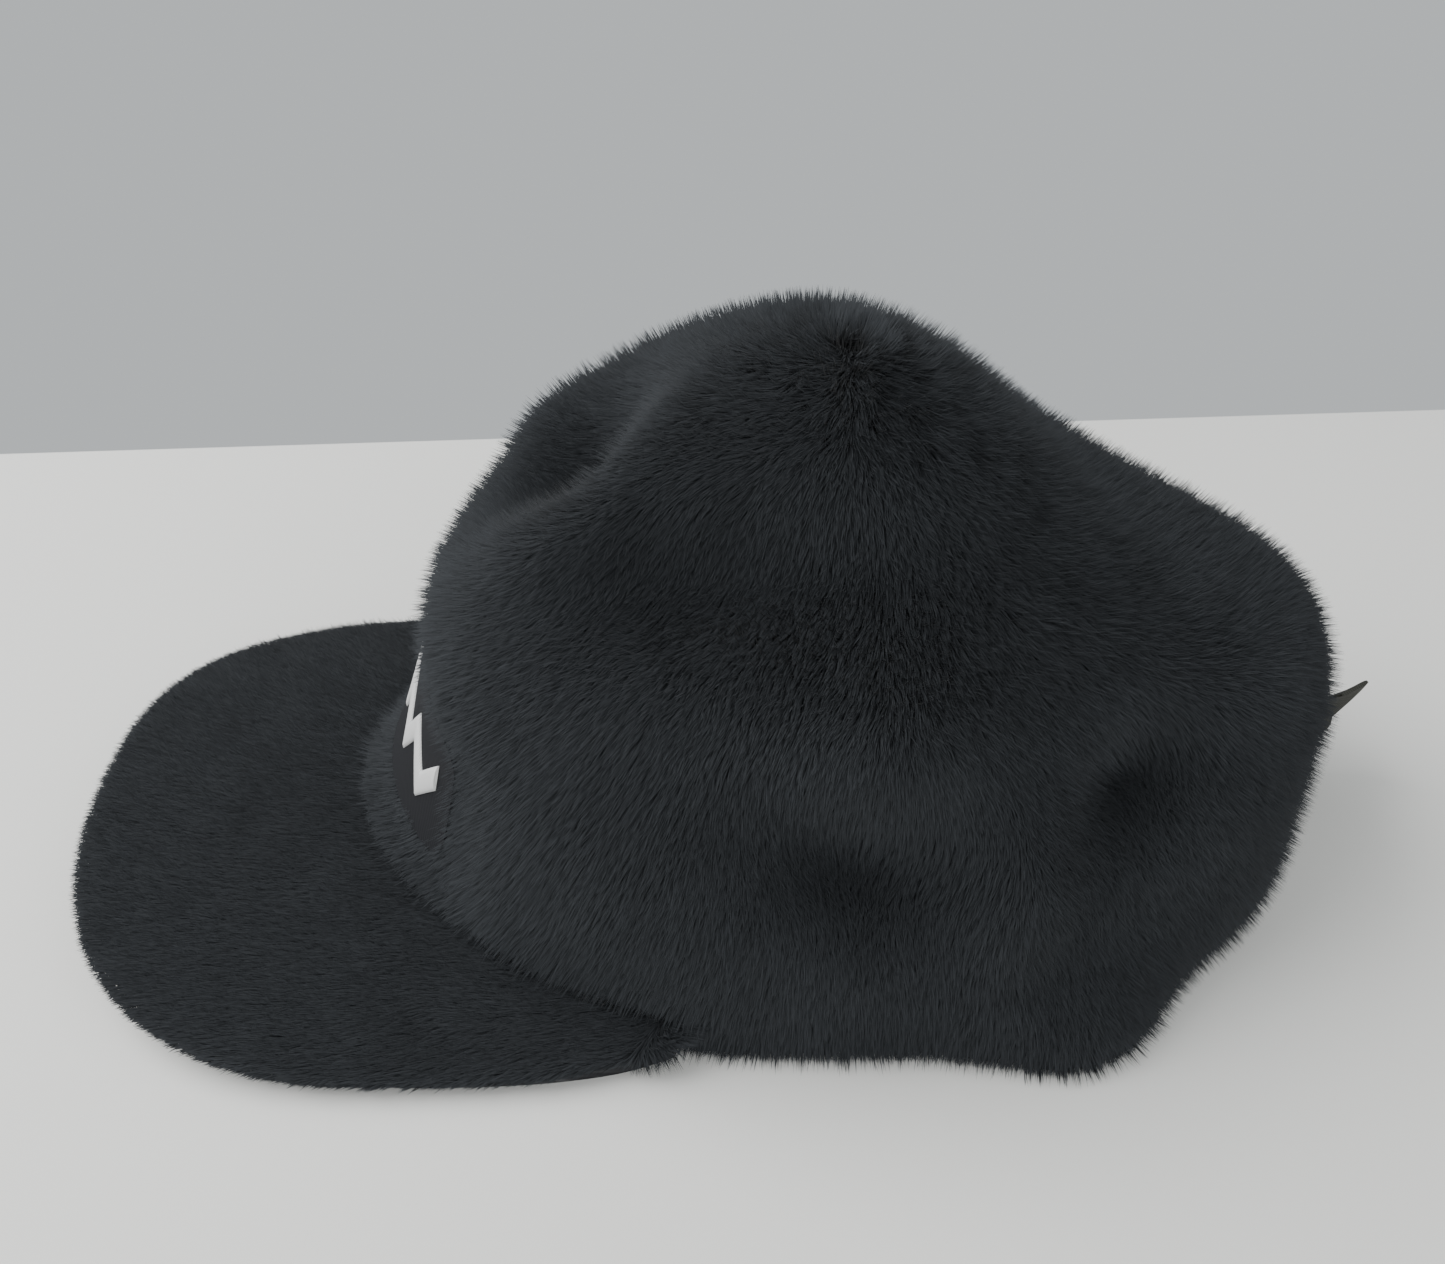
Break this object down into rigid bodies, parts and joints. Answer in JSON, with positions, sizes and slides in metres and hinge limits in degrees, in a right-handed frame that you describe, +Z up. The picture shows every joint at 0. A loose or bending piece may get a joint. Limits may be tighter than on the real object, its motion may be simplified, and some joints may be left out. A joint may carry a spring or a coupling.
{
  "type": "camp cap",
  "caption": "Soft panelled camp cap in black faux fur: floppy dented crown, flat curved bill, patch on the front, and a rear arch closed by webbing and a slider.",
  "frame": {"origin": "middle of the cap's outline from above, bill to strap tail, at the height of the surface that it lies on", "axes": "+Z up, the bill points to -Y, the wearer's left is +X"},
  "size_m": [0.1572, 0.3235, 0.1385],
  "materials": {
    "black_faux_fur": "long soft pile with a faint sheen",
    "black_patch_twill": "smooth matte",
    "white_print": "raised embroidery",
    "dark_webbing": "woven",
    "black_plastic": "satin"
  },
  "bodies": {
    "root": {"front_panel": "black_faux_fur", "top_panel": "black_faux_fur", "side_panel_left": "black_faux_fur", "side_panel_right": "black_faux_fur", "back_panel": "black_faux_fur", "bill": "black_faux_fur", "patch": "black_patch_twill", "patch_motif": "white_print", "strap": "dark_webbing", "strap_stub": "dark_webbing", "slider": "black_plastic"}
  },
  "joints": []
}
